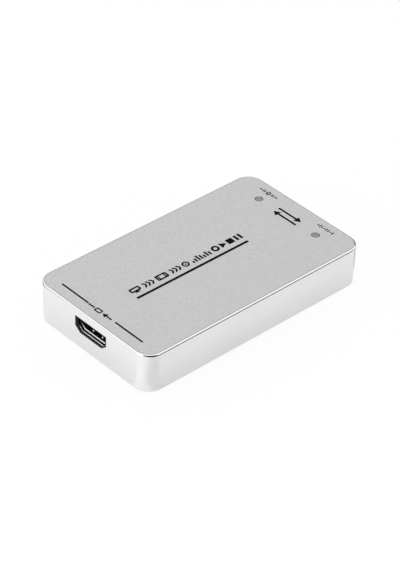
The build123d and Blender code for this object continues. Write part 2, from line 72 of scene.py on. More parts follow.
# Casing. A slope is the upward part of a face's normal.
CORNER_RADIUS, CORNER_STEPS = 6.2, 28
EDGE_RADIUS, EDGE_STEPS = 0.8, 12
RIM_BREAK, ROOF_BEVEL, SMALL_STEPS = 0.25, 0.6, 2
WALL, INK_RISE = 1.2, 0.012
ROOF_UNDER = CASE_TOP - WALL
STEEP, RIM_SLOPE, LEVEL = 0.01, 0.93, 0.999
CORNERS = [(sx, sy) for sx in (-1, 1) for sy in (-1, 1)]

# Pillars for the plate's screws and posts for the board's, and how far they bite into roof and walls
PILLAR_INSET, PILLAR_RADIUS, PILLAR_TAP = 5.4, 2.6, 7.0
PILLAR_X, PILLAR_Y = HALF_LENGTH - PILLAR_INSET, HALF_WIDTH - PILLAR_INSET
POST_INSET_X, POST_INSET_Y, POST_RADIUS, POST_TAP = 15.0, 7.0, 2.5, 4.2
POST_X, POST_Y = HALF_LENGTH - POST_INSET_X, HALF_WIDTH - POST_INSET_Y
TAP_RADIUS = 1.0
ROOF_BITE, WALL_BITE = 0.4, 0.6

# Screws under the plate
HEAD_SINK, HEAD_END, HEAD_RADIUS = 0.04, 0.99, 1.9
SHANK_START, SHANK_END, SHANK_RADIUS = 0.9, 6.5, 0.95
SLOT_HALF_LENGTH, SLOT_HALF_WIDTH, SLOT_DEPTH = 1.05, 0.2, 0.75

# Feet
FOOT_INSET_X, FOOT_INSET_Y, FOOT_RADIUS, FOOT_ROUND = 14.0, 10.5, 4.0, 0.3
FOOT_X, FOOT_Y = HALF_LENGTH - FOOT_INSET_X, HALF_WIDTH - FOOT_INSET_Y

# Lamp lenses
PIPE_RADIUS, PIPE_HOLE_FIT, LENS_FIT = 1.55, 0.05, 0.06
LENS_DROP, LENS_ROUND, LENS_ROOT = 0.03, 0.5, 0.4
STEM_RADIUS = 2.1

# Sockets. HAIR is a small step that keeps two faces of a cut out of one plane.
SHEET, SLIT, HAIR = 0.3, 0.35, 0.01
VIDEO_WIDTH, VIDEO_HEIGHT, VIDEO_CORNER = 14.0, 4.55, 0.35
VIDEO_FLOOR_WIDTH, VIDEO_SLANT_RISE = 10.0, 1.55
DATA_WIDTH, DATA_HEIGHT, DATA_CORNER = 12.5, 5.12, 0.5
VIDEO_AXIS = VIDEO_SHELL[HIGH][Z] - SHEET - VIDEO_HEIGHT / 2
DATA_AXIS = DATA_SHELL[HIGH][Z] - SHEET - DATA_HEIGHT / 2
VIDEO_FINGERS = dict(aside=2.4, start=0.82, end=5.6, width=1.3, dimple=0.6, rise=0.5)
DATA_FINGERS = dict(aside=3.1, start=2.0, end=9.0, width=2.0, dimple=0.8, rise=0.36)
VIDEO_LEGS, DATA_LEGS = (3.0, 10.2), (5.0, 13.5)
COLLAR_DEPTH, COLLAR_OVERLAP, COLLAR_SPREAD = 0.3, 0.15, 0.12
LEAD_IN_START, LEAD_IN_WIDER, LEAD_IN_HIGHER = 0.1, 0.27, 0.35
SPLIT_MIDDLE, SPLIT_ASIDE = 0.03, 0.07
SLIT_REACH, TONGUE_REACH = 0.6, 0.8
DIMPLE_MARGIN, DIMPLE_ROOT = 0.06, 0.05
LEG_HALF_WIDTH = 0.7

# Port cut-outs: a seat for the black liner, and behind it a lip of the wall
PORT_CORNER, PORT_OFFSET = 0.2, 0.42
LINER_LEAD, LINER_WALL, LINER_FIT = 0.6, 0.2, 0.03
LINER_OUTSIDE = LINER_LEAD + LINER_WALL
LINER_SEAT = LINER_OUTSIDE + LINER_FIT
VIDEO_SEAT_DEPTH, VIDEO_LIP_START, VIDEO_LIP_END = 0.98, 0.9, 1.3
VIDEO_LIP_GROW, VIDEO_LIP_TAPER = 0.54, 0.24
DATA_SEAT_DEPTH, DATA_LIP_DEPTH, DATA_LIP_GROW = 0.85, 2.2, 0.4

# Port liners: ribs along their outline, and the cheeks of the video port's liner, dark flaps that stand
# in for shade
VIDEO_LINER_END = VIDEO_SEAT_DEPTH - HALF_LENGTH
RIB_RADIUS, RIB_INSET, RIB_PITCH, RIB_MARGIN = 0.15, 0.04, 0.66, 0.8
# The height over the port's axis where a ribbed side ends, and how far out the ribbed floor goes
VIDEO_RIB_SIDE_END, VIDEO_RIB_FLOOR_END = -1.02, 5.3
CHEEK_START, CHEEK_END = 0.93 - HALF_LENGTH, 1.28 - HALF_LENGTH
CHEEK_OUTSIDE, CHEEK_INSIDE = 0.53, 0.47
CHEEK_GAP = (-5.0, 4.75)

# Sides of round pieces
FINE_ROUND, ROUND, SMALL_ROUND = 64, 48, 40
POST_ROUND, TAP_ROUND, SHANK_ROUND, RIB_ROUND = 32, 24, 20, 10

# Tools reach this far past what they cut, and a plain block over the whole box is this high.
OVERRUN, ABOVE_ALL = 1.0, 20.0
SAME, SAME_LEVEL = 1e-4, 1e-3
QUARTER_TURN = math.pi / 2


# Handling pieces

def deselect():
    if bpy.context.object and bpy.context.object.mode != "OBJECT":
        bpy.ops.object.mode_set(mode="OBJECT")
    bpy.ops.object.select_all(action="DESELECT")


def hold(piece):
    deselect()
    piece.select_set(True)
    bpy.context.view_layer.objects.active = piece
    return piece


def pick(piece, kind, test):
    """Goes into edit mode with the vertices, edges or faces selected that pass the test."""
    hold(piece)
    mesh = piece.data
    for group in (mesh.vertices, mesh.edges, mesh.polygons):
        group.foreach_set("select", [False] * len(group))
    if kind == "VERT":
        for vertex in mesh.vertices:
            vertex.select = test(vertex.co)
    elif kind == "EDGE":
        for edge in mesh.edges:
            a, b = (mesh.vertices[i].co for i in edge.vertices)
            edge.select = test(a, b)
    else:
        for face in mesh.polygons:
            face.select = test(face.center, face.normal)
    bpy.context.tool_settings.mesh_select_mode = (kind == "VERT", kind == "EDGE", kind == "FACE")
    bpy.ops.object.mode_set(mode="EDIT")


def pick_all(piece):
    pick(piece, "VERT", lambda co: True)


def leave():
    bpy.ops.object.mode_set(mode="OBJECT")


def fix_place(piece):
    hold(piece)
    bpy.ops.object.transform_apply(location=True, rotation=True, scale=True)
    return piece


def block(name, low, high):
    middle = [(a + b) / 2 for a, b in zip(low, high)]
    size = [b - a for a, b in zip(low, high)]
    deselect()
    bpy.ops.mesh.primitive_cube_add(size=1, location=middle, scale=size)
    piece = bpy.context.object
    piece.name = name
    return fix_place(piece)


def rod(name, x, y, low, high, radius, sides=ROUND, top_radius=None):
    deselect()
    if top_radius is None:
        top_radius = radius
    bpy.ops.mesh.primitive_cone_add(
        vertices=sides,
        radius1=radius,
        radius2=top_radius,
        depth=high - low,
        location=(x, y, (low + high) / 2),
    )
    piece = bpy.context.object
    piece.name = name
    return fix_place(piece)


def copy_of(piece, shift):
    double = piece.copy()
    double.data = piece.data.copy()
    bpy.context.scene.collection.objects.link(double)
    double.location = shift
    return fix_place(double)


def join(name, pieces):
    deselect()
    for piece in pieces:
        piece.select_set(True)
    bpy.context.view_layer.objects.active = pieces[0]
    bpy.ops.object.join()
    pieces[0].name = name
    pieces[0].data.name = name
    return pieces[0]


def combine(piece, tool, operation):
    """Cuts the tool away from the piece, fuses it on, or keeps what both hold."""
    modifier = piece.modifiers.new("combine", "BOOLEAN")
    modifier.operation = operation
    modifier.object = tool
    modifier.solver = "EXACT"
    hold(piece)
    bpy.ops.object.modifier_apply(modifier=modifier.name)
    bpy.data.objects.remove(tool)


def cut(piece, *tools):
    for tool in tools:
        combine(piece, tool, "DIFFERENCE")


def fuse(piece, *tools):
    for tool in tools:
        combine(piece, tool, "UNION")


def split(piece, point, normal):
    """Draws an edge where a plane crosses the piece, so that a later cut leaves no face with a hole."""
    pick_all(piece)
    bpy.ops.mesh.bisect(plane_co=point, plane_no=normal)
    leave()


def trim(piece, point, outward):
    """Cuts off what lies past a plane and closes the piece there."""
    pick_all(piece)
    bpy.ops.mesh.bisect(plane_co=point, plane_no=outward, use_fill=True, clear_outer=True)
    leave()


def round_edges(piece, test, radius, segments):
    pick(piece, "EDGE", test)
    bpy.ops.mesh.bevel(offset=radius, segments=segments, profile=0.5, affect="EDGES")
    leave()


def smooth(piece, angle=32.0):
    hold(piece)
    bpy.ops.object.shade_smooth_by_angle(angle=math.radians(angle))
    modifier = piece.modifiers.new("even", "WEIGHTED_NORMAL")
    modifier.mode = "FACE_AREA"
    modifier.weight = 80
    modifier.keep_sharp = True
    bpy.ops.object.modifier_apply(modifier=modifier.name)


def give(piece, *materials):
    piece.data.materials.clear()
    for material in materials:
        piece.data.materials.append(material)


def paint(piece, number, test):
    for face in piece.data.polygons:
        if test(face.center, face.normal):
            face.material_index = number


def settle(piece, slot, *nodes):
    """Brings the piece to metres, hangs it on the box and hides the solids it stands for."""
    piece.scale = (MILLIMETRE, MILLIMETRE, MILLIMETRE)
    fix_place(piece)
    deselect()
    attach(piece, "root")
    if nodes:
        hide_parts(*nodes)
    return piece


# Finishes

def grey(value):
    """A neutral colour from its 0 to 255 screen value, by the screen's own curve."""
    share = value / 255
    linear = share / 12.92 if share <= 0.04045 else ((share + 0.055) / 1.055) ** 2.4
    return (linear, linear, linear, 1.0)


def tone(red, green, blue):
    return tuple(grey(value)[0] for value in (red, green, blue)) + (1.0,)


class Finish:
    """A material that is built up in layers on the object's own coordinates, in metres."""

    def __init__(self, name, color, roughness, metallic=0.0, specular=0.5):
        self.material = bpy.data.materials.new(name)
        self.material.use_nodes = True
        self.nodes = self.material.node_tree.nodes
        self.links = self.material.node_tree.links
        self.shader = self.nodes["Principled BSDF"]
        self.shader.inputs["Base Color"].default_value = color
        self.shader.inputs["Roughness"].default_value = roughness
        self.shader.inputs["Metallic"].default_value = metallic
        self.shader.inputs["Specular IOR Level"].default_value = specular
        self.place = self.nodes.new("ShaderNodeTexCoord").outputs["Object"]

    def stretch(self, scale):
        mapping = self.nodes.new("ShaderNodeMapping")
        mapping.inputs["Scale"].default_value = scale
        self.links.new(self.place, mapping.inputs["Vector"])
        return mapping.outputs["Vector"]

    def noise(self, scale, detail=2.0, rough=0.5, place=None):
        texture = self.nodes.new("ShaderNodeTexNoise")
        texture.inputs["Scale"].default_value = scale
        texture.inputs["Detail"].default_value = detail
        texture.inputs["Roughness"].default_value = rough
        self.links.new(place or self.place, texture.inputs["Vector"])
        return texture.outputs["Fac"]

    def spread(self, value, low_in=0.3, high_in=0.7, low=0.0, high=1.0):
        """Stretches the middle of a noise, where most of it lies, over a range."""
        node = self.nodes.new("ShaderNodeMapRange")
        node.inputs["From Min"].default_value = low_in
        node.inputs["From Max"].default_value = high_in
        node.inputs["To Min"].default_value = low
        node.inputs["To Max"].default_value = high
        self.links.new(value, node.inputs["Value"])
        return node.outputs["Result"]

    def mottle(self, value, first, second):
        """Colours the finish between two tones."""
        node = self.nodes.new("ShaderNodeMix")
        node.data_type = "RGBA"
        colors = [socket for socket in node.inputs if socket.type == "RGBA"]
        colors[0].default_value = first
        colors[1].default_value = second
        self.links.new(value, node.inputs["Factor"])
        result = next(socket for socket in node.outputs if socket.type == "RGBA")
        self.links.new(result, self.shader.inputs["Base Color"])
        return self

    def roughen(self, value, low, high):
        self.links.new(self.spread(value, low=low, high=high), self.shader.inputs["Roughness"])
        return self

    def bump(self, height, strength, depth):
        """Raises the surface by a texture's height, to a depth in millimetres."""
        node = self.nodes.new("ShaderNodeBump")
        node.inputs["Strength"].default_value = strength
        node.inputs["Distance"].default_value = depth * MILLIMETRE
        self.links.new(height, node.inputs["Height"])
        self.links.new(node.outputs["Normal"], self.shader.inputs["Normal"])
        return self


def blasted_roof():
    """Aluminium blasted with fine sand, darker than the bare walls."""
    f = Finish("blasted_roof", grey(204), roughness=0.5, metallic=1.0)
    f.mottle(f.spread(f.noise(2600, rough=0.6)), grey(194), grey(214))
    f.roughen(f.noise(900), 0.46, 0.54)
    return f.bump(f.noise(5200, rough=0.6), strength=0.25, depth=0.02).material


def satin_wall():
    """Bare aluminium with an even satin polish and faint clouds in its colour."""
    f = Finish("satin_wall", grey(233), roughness=0.28, metallic=0.5)
    clouds = f.noise(60, place=f.stretch((0.5, 0.5, 1.6)))
    f.mottle(f.spread(clouds, 0.35, 0.65), grey(232), grey(235))
    return f.bump(f.noise(2400), strength=0.1, depth=0.01).material


def polished_edge():
    f = Finish("polished_edge", grey(252), roughness=0.08, metallic=1.0)
    f.mottle(f.noise(400), grey(249), grey(254))
    return f.roughen(f.noise(700), 0.06, 0.1).material


def rim_painted_shade():
    """Painted shade: a darker line on the top of the polished round, where the blasted roof ends."""
    f = Finish("rim_painted_shade", grey(172), roughness=0.4, metallic=1.0)
    return f.mottle(f.noise(1500), grey(164), grey(180)).material


def printing_ink():
    f = Finish("printing_ink", grey(12), roughness=0.8, specular=0.04)
    f.mottle(f.noise(3000), grey(8), grey(16))
    return f.bump(f.noise(6000), strength=0.2, depth=0.01).material


def liner_plastic():
    f = Finish("liner_plastic", grey(58), roughness=0.42)
    f.mottle(f.noise(1200), grey(53), grey(63))
    return f.bump(f.noise(5000), strength=0.2, depth=0.01).material


def socket_tin():
    f = Finish("socket_tin", grey(222), roughness=0.2, metallic=1.0)
    f.mottle(f.noise(300, detail=3), grey(214), grey(230))
    f.roughen(f.noise(900), 0.16, 0.24)
    return f.bump(f.noise(2500), strength=0.05, depth=0.01).material


def moulded(name, value, spread=5):
    """Plain dark plastic or a chip's resin."""
    f = Finish(name, grey(value), roughness=0.45)
    f.mottle(f.noise(1500), grey(value - spread), grey(value + spread))
    return f.bump(f.noise(5000), strength=0.15, depth=0.01).material


def blue_plastic():
    f = Finish("blue_plastic", tone(28, 84, 160), roughness=0.4)
    f.mottle(f.noise(1200), tone(24, 78, 152), tone(32, 90, 168))
    return f.bump(f.noise(5000), strength=0.15, depth=0.01).material


def gilt_contact():
    f = Finish("gilt_contact", tone(214, 172, 92), roughness=0.25, metallic=1.0)
    return f.mottle(f.noise(900), tone(206, 164, 84), tone(222, 182, 102)).material


def lamp_lens():
    """Frosted grey plastic under a thin gloss."""
    f = Finish("lamp_lens", grey(132), roughness=0.38, specular=0.35)
    f.mottle(f.noise(1800), grey(124), grey(140))
    f.shader.inputs["Coat Weight"].default_value = 0.25
    f.shader.inputs["Coat Roughness"].default_value = 0.2
    return f.bump(f.noise(3600), strength=0.2, depth=0.02).material


def brushed_plate():
    """Aluminium brushed along the box."""
    f = Finish("brushed_plate", grey(206), roughness=0.34, metallic=1.0)
    strokes = f.noise(420, detail=3, rough=0.6, place=f.stretch((0.06, 3.0, 3.0)))
    f.mottle(f.spread(strokes), grey(198), grey(213))
    f.roughen(strokes, 0.3, 0.4)
    return f.bump(strokes, strength=0.12, depth=0.02).material


def screw_steel():
    f = Finish("screw_steel", grey(168), roughness=0.28, metallic=1.0)
    f.mottle(f.noise(800), grey(158), grey(178))
    return f.roughen(f.noise(1200), 0.22, 0.34).material


def foot_rubber():
    f = Finish("foot_rubber", grey(46), roughness=0.75, specular=0.3)
    f.mottle(f.noise(700, detail=3), grey(40), grey(54))
    return f.bump(f.noise(3000, detail=3), strength=0.4, depth=0.03).material


def solder_mask():
    f = Finish("solder_mask", tone(24, 28, 30), roughness=0.38)
    f.mottle(f.noise(220, detail=3), tone(19, 22, 24), tone(30, 34, 37))
    return f.bump(f.noise(900, detail=3), strength=0.15, depth=0.02).material


def clear_film():
    f = Finish("clear_film", tone(206, 196, 160), roughness=0.3)
    return f.mottle(f.noise(200), tone(200, 190, 152), tone(212, 202, 168)).material


def soft_foam():
    f = Finish("soft_foam", grey(92), roughness=0.9, specular=0.2)
    f.mottle(f.noise(1600, detail=3), grey(80), grey(104))
    return f.bump(f.noise(2400, detail=3), strength=0.6, depth=0.06).material


def lamp_body():
    f = Finish("lamp_body", grey(224), roughness=0.4)
    return f.mottle(f.noise(900), grey(218), grey(230)).material


def soft_pad():
    f = Finish("soft_pad", tone(150, 160, 172), roughness=0.7)
    return f.mottle(f.noise(900), tone(142, 152, 164), tone(158, 168, 180)).material


def cooler_metal():
    f = Finish("cooler_metal", grey(60), roughness=0.4, metallic=1.0)
    f.mottle(f.noise(500), grey(52), grey(68))
    return f.bump(f.noise(3000), strength=0.1, depth=0.01).material


def can_metal():
    f = Finish("can_metal", grey(198), roughness=0.25, metallic=1.0)
    return f.mottle(f.noise(600), grey(190), grey(206)).material


def ceramic():
    f = Finish("ceramic", tone(176, 152, 118), roughness=0.4)
    return f.mottle(f.noise(1800), tone(166, 142, 108), tone(186, 162, 128)).material


# Outlines of the two ports

def upright(a, b):
    return abs(a.x - b.x) < SAME and abs(a.y - b.y) < SAME


def along_x(a, b):
    return abs(a.y - b.y) < SAME and abs(a.z - b.z) < SAME


def at_height(z):
    return lambda a, b: abs(a.z - z) < SAME_LEVEL and abs(b.z - z) < SAME_LEVEL


def port_block(x_low, x_high, width, height, axis, grow):
    half, top = width / 2 + grow, height / 2 + grow
    return block("mouth", (x_low, -half, axis - top), (x_high, half, axis + top))


def video_prism(x_low, x_high, grow, corner):
    """The wide mouth of the video port over its narrower floor, grown on all sides."""
    piece = port_block(x_low, x_high, VIDEO_WIDTH, VIDEO_HEIGHT, VIDEO_AXIS, grow)
    floor_half, slant_run = VIDEO_FLOOR_WIDTH / 2, (VIDEO_WIDTH - VIDEO_FLOOR_WIDTH) / 2
    slant = Vector((0, VIDEO_SLANT_RISE, -slant_run)).normalized()
    for side in (-1, 1):
        outward = Vector((0, side * slant.y, slant.z))
        on_slant = Vector((0, side * floor_half, VIDEO_AXIS - VIDEO_HEIGHT / 2)) + outward * grow
        trim(piece, on_slant, outward)
    round_edges(piece, along_x, corner, segments=8)
    return piece


def video_opening(x_low, x_high, grow, corner):
    """The same outline as the casing has it, a little wider on the side of -Y."""
    piece = video_prism(x_low, x_high, grow, corner)
    pick(piece, "VERT", lambda co: co.y < 0)
    bpy.ops.transform.translate(value=(0, -PORT_OFFSET, 0))
    leave()
    return piece


def data_prism(x_low, x_high, grow, corner):
    piece = port_block(x_low, x_high, DATA_WIDTH, DATA_HEIGHT, DATA_AXIS, grow)
    round_edges(piece, along_x, corner, segments=8)
    return piece


VIDEO = dict(
    prism=video_prism, axis=VIDEO_AXIS, width=VIDEO_WIDTH, height=VIDEO_HEIGHT, corner=VIDEO_CORNER
)
OPENING = VIDEO | dict(prism=video_opening)
DATA = dict(
    prism=data_prism, axis=DATA_AXIS, width=DATA_WIDTH, height=DATA_HEIGHT, corner=DATA_CORNER
)


def flared(port, low, high, grow, corner, end, wider, higher):
    """A tool in the port's outline, let out or drawn in on each side at one of its ends."""
    tool = port["prism"](low, high, grow, corner)
    steps = (("width", wider), ("height", higher))
    shares = [1 + 2 * step / (port[size] + 2 * grow) for size, step in steps]
    pick(tool, "VERT", lambda co: abs(co.x - end) < SAME_LEVEL)
    bpy.ops.transform.resize(value=(1, *shares), center_override=(end, 0, port["axis"]))
    bpy.ops.mesh.select_all(action="SELECT")
    bpy.ops.mesh.quads_convert_to_tris()
    leave()
    return tool


# Casing

def on_roof(center, normal):
    return normal.z > LEVEL and center.z > ROOF_UNDER + WALL / 2


def on_edge(center, normal):
    return center.z > CASE_TOP - EDGE_RADIUS and STEEP < normal.z < RIM_SLOPE


def on_shaded_rim(center, normal):
    """The narrow band between the polished edge and the roof, where shade is painted darker."""
    return center.z > CASE_TOP - EDGE_RADIUS and RIM_SLOPE <= normal.z < LEVEL


def hollow_box():
    """The walls and the roof, open underneath."""
    top = CASE_TOP - INK_RISE
    casing = block(
        "casing", (-HALF_LENGTH, -HALF_WIDTH, CASE_BOTTOM), (HALF_LENGTH, HALF_WIDTH, top)
    )
    round_edges(casing, upright, CORNER_RADIUS, CORNER_STEPS)
    round_edges(casing, at_height(top), EDGE_RADIUS, EDGE_STEPS)
    round_edges(casing, at_height(CASE_BOTTOM), RIM_BREAK, SMALL_STEPS)
    pick(casing, "FACE", lambda center, normal: normal.z < -LEVEL)
    bpy.ops.mesh.inset(thickness=WALL - RIM_BREAK)
    bpy.ops.mesh.extrude_region_move(
        TRANSFORM_OT_translate={"value": (0, 0, ROOF_UNDER - CASE_BOTTOM)}
    )
    leave()
    round_edges(casing, at_height(ROOF_UNDER), ROOF_BEVEL, SMALL_STEPS)
    return casing


def add_pillar(casing, sx, sy):
    """A tapped pillar in one corner, with an arm to each of the two walls beside it."""
    x, y = sx * PILLAR_X, sy * PILLAR_Y
    half_x, half_y = HALF_LENGTH - WALL_BITE, HALF_WIDTH - WALL_BITE
    reach_x, reach_y = sx * half_x, sy * half_y
    top = ROOF_UNDER + ROOF_BITE
    pillar = rod("pillar", x, y, PLATE_TOP, top, PILLAR_RADIUS)
    arm_x = block(
        "arm",
        (min(x, reach_x), y - PILLAR_RADIUS, PLATE_TOP),
        (max(x, reach_x), y + PILLAR_RADIUS, top),
    )
    arm_y = block(
        "arm",
        (x - PILLAR_RADIUS, min(y, reach_y), PLATE_TOP),
        (x + PILLAR_RADIUS, max(y, reach_y), top),
    )
    limit = block("limit", (-half_x, -half_y, 0), (half_x, half_y, ABOVE_ALL))
    round_edges(limit, upright, CORNER_RADIUS - WALL_BITE, segments=12)
    fuse(pillar, arm_x, arm_y)
    combine(pillar, limit, "INTERSECT")
    fuse(casing, pillar)
    start, end = PLATE_TOP - OVERRUN, PLATE_TOP + PILLAR_TAP
    cut(casing, rod("tap", x, y, start, end, TAP_RADIUS, TAP_ROUND))


def add_post(casing, sx, sy):
    """A tapped post that the board is screwed up against."""
    x, y = sx * POST_X, sy * POST_Y
    fuse(casing, rod("post", x, y, BOARD_TOP, ROOF_UNDER + ROOF_BITE, POST_RADIUS, POST_ROUND))
    start, end = BOARD_TOP - OVERRUN, BOARD_TOP + POST_TAP
    cut(casing, rod("tap", x, y, start, end, TAP_RADIUS, TAP_ROUND))


def cut_ports(casing):
    near, far = -HALF_LENGTH, HALF_LENGTH
    lip_start, lip_end = near + VIDEO_LIP_START, near + VIDEO_LIP_END
    lip = (VIDEO_LIP_GROW, PORT_CORNER, lip_end, 0.0, -VIDEO_LIP_TAPER)
    cut(
        casing,
        video_opening(near - OVERRUN, near + VIDEO_SEAT_DEPTH, LINER_SEAT, PORT_CORNER),
        flared(OPENING, lip_start, lip_end, *lip),
        data_prism(far - DATA_SEAT_DEPTH, far + OVERRUN, LINER_SEAT, PORT_CORNER),
        data_prism(far - DATA_LIP_DEPTH, far + OVERRUN, DATA_LIP_GROW, PORT_CORNER),
    )


def make_casing():
    casing = hollow_box()
    for sx, sy in CORNERS:
        add_pillar(casing, sx, sy)
        add_post(casing, sx, sy)
    split(casing, (LIGHT_X, 0, 0), (1, 0, 0))
    split(casing, (0, 0, 0), (0, 1, 0))
    hole = (ROOF_UNDER - OVERRUN, CASE_TOP + OVERRUN, PIPE_RADIUS + PIPE_HOLE_FIT, FINE_ROUND)
    for sy in (-1, 1):
        cut(casing, rod("lamp_hole", LIGHT_X, sy * LIGHT_Y, *hole))
    cut_ports(casing)
    give(casing, satin_wall(), blasted_roof(), polished_edge(), rim_painted_shade())
    paint(casing, 1, on_roof)
    paint(casing, 2, on_edge)
    # The top band of the round gets a darker colour: painted shade.
    paint(casing, 3, on_shaded_rim)
    smooth(casing)
    return settle(casing, "casing", "top_shell")


# Port liners

def rib_places(corners):
    """Places along the straight runs of an outline, a rib's margin away from its corners."""
    places = []
    for i, start in enumerate(corners):
        run = corners[(i + 1) % len(corners)] - start
        ribbed = run.length - 2 * RIB_MARGIN
        steps = max(1, round(ribbed / RIB_PITCH))
        for k in range(steps + 1):
            share = (RIB_MARGIN + ribbed * k / steps) / run.length
            places.append(start + run * share)
    return places


def video_rib_corners():
    half, top = VIDEO_WIDTH / 2 + LINER_LEAD, VIDEO_HEIGHT / 2 + LINER_LEAD
    right = [(half, top), (half, VIDEO_RIB_SIDE_END), (VIDEO_RIB_FLOOR_END, -top)]
    left = [(-y - PORT_OFFSET, z) for y, z in reversed(right)]
    return [Vector((y, VIDEO_AXIS + z)) for y, z in (left[-1], *right, *left[:-1])]


def data_rib_corners():
    half, top = DATA_WIDTH / 2 + LINER_LEAD, DATA_HEIGHT / 2 + LINER_LEAD
    corners = ((-half, top), (half, top), (half, -top), (-half, -top))
    return [Vector((y, DATA_AXIS + z)) for y, z in corners]


def make_shade_cheeks():
    """Thin flaps of the video port's liner that cover the sides of the casing behind it: a dark sheet
    that stands in for the shade on those sides.
    """
    low, high = CHEEK_START - OVERRUN, CHEEK_END + OVERRUN
    cheeks = video_opening(CHEEK_START, CHEEK_END, CHEEK_OUTSIDE, PORT_CORNER)
    cut(cheeks, video_opening(low, high, CHEEK_INSIDE, PORT_CORNER))
    gap_start, gap_end = CHEEK_GAP
    cut(cheeks, block("middle", (low, gap_start - PORT_OFFSET, 0), (high, gap_end, ABOVE_ALL)))
    return cheeks


def make_liner(node, prism, corners, x_low, x_high, material, extras=()):
    """A thin band that lines a port, with ribs round its inner side."""
    band = prism(x_low, x_high, LINER_OUTSIDE, PORT_CORNER)
    cut(band, prism(x_low - OVERRUN, x_high + OVERRUN, LINER_LEAD, PORT_CORNER))
    rib = rod("rib", 0, 0, x_low + RIB_INSET, x_high - RIB_INSET, RIB_RADIUS, RIB_ROUND)
    rib.rotation_euler = (0, QUARTER_TURN, 0)
    fix_place(rib)
    ribs = [copy_of(rib, (0, place.x, place.y)) for place in rib_places(corners)]
    bpy.data.objects.remove(rib)
    liner = join("ribbed_" + node, [band, *ribs, *extras])
    smooth(liner, angle=50)
    give(liner, material)
    return settle(liner, "liner", node)


def make_liners(material):
    video_start = VIDEO_LINER[LOW][X]
    data_start, data_end = DATA_LINER[LOW][X], DATA_LINER[HIGH][X]
    video = (video_opening, video_rib_corners(), video_start, VIDEO_LINER_END)
    make_liner("video_port_liner", *video, material, [make_shade_cheeks()])
    make_liner("data_port_liner", data_prism, data_rib_corners(), data_start, data_end, material)


# Screws, feet and lamp lenses

def make_base_screws(material):
    """Countersunk cross-head screws in the corners of the plate."""
    low = CASE_BOTTOM + HEAD_SINK
    cone = (HEAD_RADIUS, SMALL_ROUND, SHANK_RADIUS)
    screw = rod("head", 0, 0, low, CASE_BOTTOM + HEAD_END, *cone)
    start, end = CASE_BOTTOM - OVERRUN, CASE_BOTTOM + SLOT_DEPTH
    for x, y in ((SLOT_HALF_LENGTH, SLOT_HALF_WIDTH), (SLOT_HALF_WIDTH, SLOT_HALF_LENGTH)):
        cut(screw, block("slot", (-x, -y, start), (x, y, end)))
    start, end = CASE_BOTTOM + SHANK_START, CASE_BOTTOM + SHANK_END
    fuse(screw, rod("shank", 0, 0, start, end, SHANK_RADIUS, SHANK_ROUND))
    screws = [copy_of(screw, (sx * PILLAR_X, sy * PILLAR_Y, 0)) for sx, sy in CORNERS]
    bpy.data.objects.remove(screw)
    screws = join("screws_under_the_plate", screws)
    smooth(screws)
    give(screws, material)
    return settle(screws, "steel", "base_screws")


def make_feet(material):
    foot = rod("foot", 0, 0, 0, CASE_BOTTOM, FOOT_RADIUS, FINE_ROUND)
    round_edges(foot, at_height(0), FOOT_ROUND, segments=5)
    feet = [copy_of(foot, (sx * FOOT_X, sy * FOOT_Y, 0)) for sx, sy in CORNERS]
    bpy.data.objects.remove(foot)
    feet = join("stick_on_feet", feet)
    smooth(feet, angle=40)
    give(feet, material)
    return settle(feet, "feet", "rubber_feet")


def make_lens(name, node, y, material):
    """A round lens in the roof on its wider stem over the lamp."""
    top = CASE_TOP - LENS_DROP
    lens = rod("lens", LIGHT_X, y, ROOF_UNDER - LENS_ROOT, top, PIPE_RADIUS - LENS_FIT, FINE_ROUND)
    round_edges(lens, at_height(top), LENS_ROUND, segments=8)
    fuse(lens, rod("stem", LIGHT_X, y, PIPE[LOW][Z], ROOF_UNDER, STEM_RADIUS))
    lens.name = name
    smooth(lens, angle=40)
    give(lens, material)
    return settle(lens, "light", node)


# Sockets

def bulge(x, y, z, radius, rise, down):
    """A pressed dimple: the cap of a ball."""
    ball = (radius**2 + rise**2) / (2 * rise)
    away = -1 if down else 1
    deselect()
    bpy.ops.mesh.primitive_uv_sphere_add(
        segments=32,
        ring_count=24,
        radius=ball,
        location=(x, y, z + away * (rise - ball)),
    )
    piece = bpy.context.object
    piece.name = "dimple"
    fix_place(piece)
    trim(piece, (x, y, z - away * DIMPLE_ROOT), (0, 0, -away))
    return piece


def folded_shell(port, face, rear, inward):
    """The socket's plain tube of sheet, with a collar that opens out at its face."""
    prism, corner = port["prism"], port["corner"]
    low, high = min(face, rear), max(face, rear)
    front, behind, back = (
        face + inward * depth for depth in (-LEAD_IN_START, COLLAR_OVERLAP, COLLAR_DEPTH)
    )
    shell = prism(min(behind, rear), max(behind, rear), SHEET, corner + SHEET)
    collar = (min(face, back), max(face, back), SHEET + HAIR, corner + SHEET, face)
    fuse(shell, flared(port, *collar, COLLAR_SPREAD, 0.0))
    lead_in = (min(front, back), max(front, back), -HAIR, corner, front)
    cut(
        shell,
        prism(low - OVERRUN, high + OVERRUN, 0.0, corner),
        flared(port, *lead_in, LEAD_IN_WIDER, LEAD_IN_HIGHER),
    )
    return shell


def add_finger(shell, port, y, level, root, tip, inward, fingers):
    """Cuts a spring finger free on three sides and presses a dimple into it."""
    half, tongue_root = fingers["width"] / 2, root + inward * SLIT
    z = port["axis"] + level * (port["height"] + SHEET) / 2
    slit = block(
        "slit",
        (min(root, tip), y - half - SLIT, z - SLIT_REACH),
        (max(root, tip), y + half + SLIT, z + SLIT_REACH),
    )
    tongue_end = tip + inward * OVERRUN
    tongue = block(
        "tongue",
        (min(tongue_root, tongue_end), y - half, z - TONGUE_REACH),
        (max(tongue_root, tongue_end), y + half, z + TONGUE_REACH),
    )
    cut(slit, tongue)
    cut(shell, slit)
    radius, rise = fingers["dimple"], fingers["rise"]
    x = tongue_root + inward * (radius + DIMPLE_MARGIN)
    surface = port["axis"] + level * port["height"] / 2
    fuse(shell, bulge(x, y, surface, radius, rise, level > 0))


